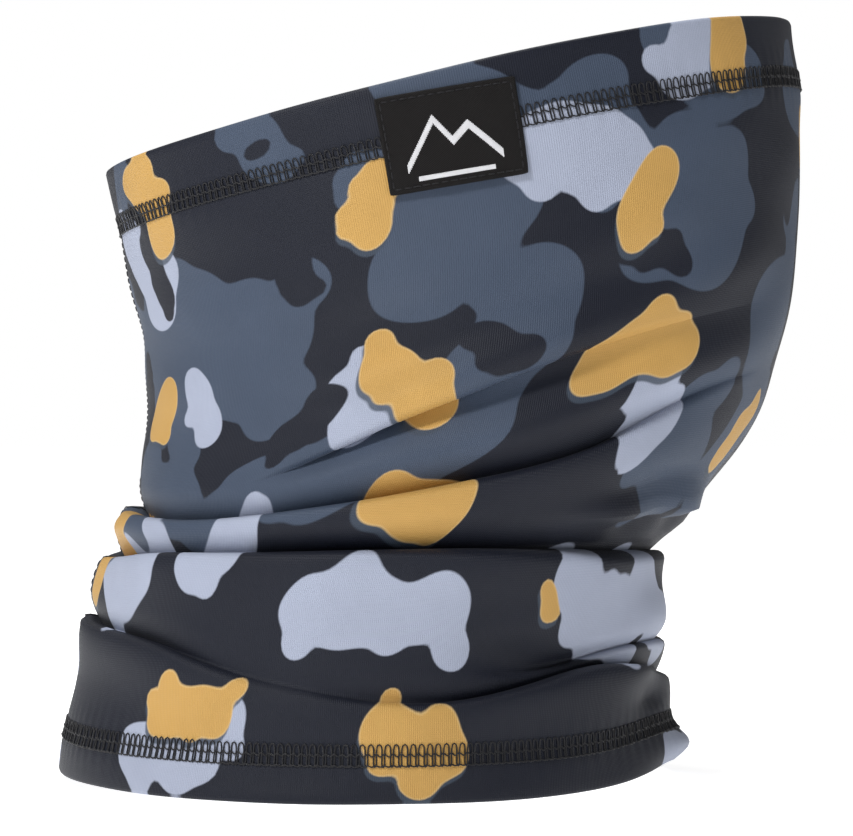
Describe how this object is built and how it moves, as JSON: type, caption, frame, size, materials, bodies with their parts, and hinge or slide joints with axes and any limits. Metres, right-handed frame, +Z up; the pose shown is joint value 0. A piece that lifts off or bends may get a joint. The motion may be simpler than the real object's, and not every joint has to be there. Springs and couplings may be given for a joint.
{
  "type": "neck gaiter",
  "caption": "Stretch-knit tube worn over nose and neck, bunched into rolls at the collar, with cover-stitched hems and a woven patch.",
  "frame": {"origin": "centre of the bottom opening, in the plane the collar rests on", "axes": "+X to the wearer's face, +Y to the wearer's left, +Z up; the woven patch is on the -Y side, the wearer's right cheek"},
  "size_m": [0.2145, 0.161, 0.216],
  "materials": {
    "knit_print": "weft knit with an all-over camouflage print in navy, slate, pale lavender grey and mustard, slight sheen",
    "knit_reverse": "unprinted back of the knit, print showing through faintly",
    "black_thread": "textured polyester sewing thread",
    "patch_damask": "black woven damask",
    "patch_yarn": "white figure yarn, slightly raised",
    "label_satin": "white satin tape, blank"
  },
  "bodies": {
    "collar": {"throat_section": "knit_print", "collar_section": "knit_print", "bottom_hem_turn_in": "knit_reverse", "bottom_cover_thread": "black_thread", "bottom_needle_thread_upper": "black_thread", "bottom_needle_thread_middle": "black_thread", "bottom_needle_thread_lower": "black_thread", "back_seam_cover_throat": "black_thread", "back_seam_cover_collar": "black_thread", "back_seam_needles_throat": "black_thread", "back_seam_needles_collar": "black_thread"},
    "face_band": {"face_section": "knit_print", "top_hem_turn_in": "knit_reverse", "top_cover_thread": "black_thread", "top_needle_thread_upper": "black_thread", "top_needle_thread_middle": "black_thread", "top_needle_thread_lower": "black_thread", "back_seam_cover_face": "black_thread", "back_seam_needles_face": "black_thread", "side_patch": "patch_damask", "side_patch_motif": "patch_yarn", "side_patch_stitching": "black_thread", "care_label_tack": "black_thread"},
    "care_label": {"care_label": "label_satin"}
  },
  "joints": [
    {"name": "pull_down", "type": "slide", "parent": "collar", "child": "face_band", "axis": [0.2118, 0, -0.9773], "range_m": [0, 0.06], "deforming": ["throat_section", "back_seam_cover_throat", "back_seam_needles_throat"]},
    {"name": "care_label_swing", "type": "hinge", "parent": "face_band", "child": "care_label", "pos_m": [-0.06875, 0, 0.14131], "axis": [-0.2226, 0, 0.9749], "range_deg": [-148, 2]}
  ]
}
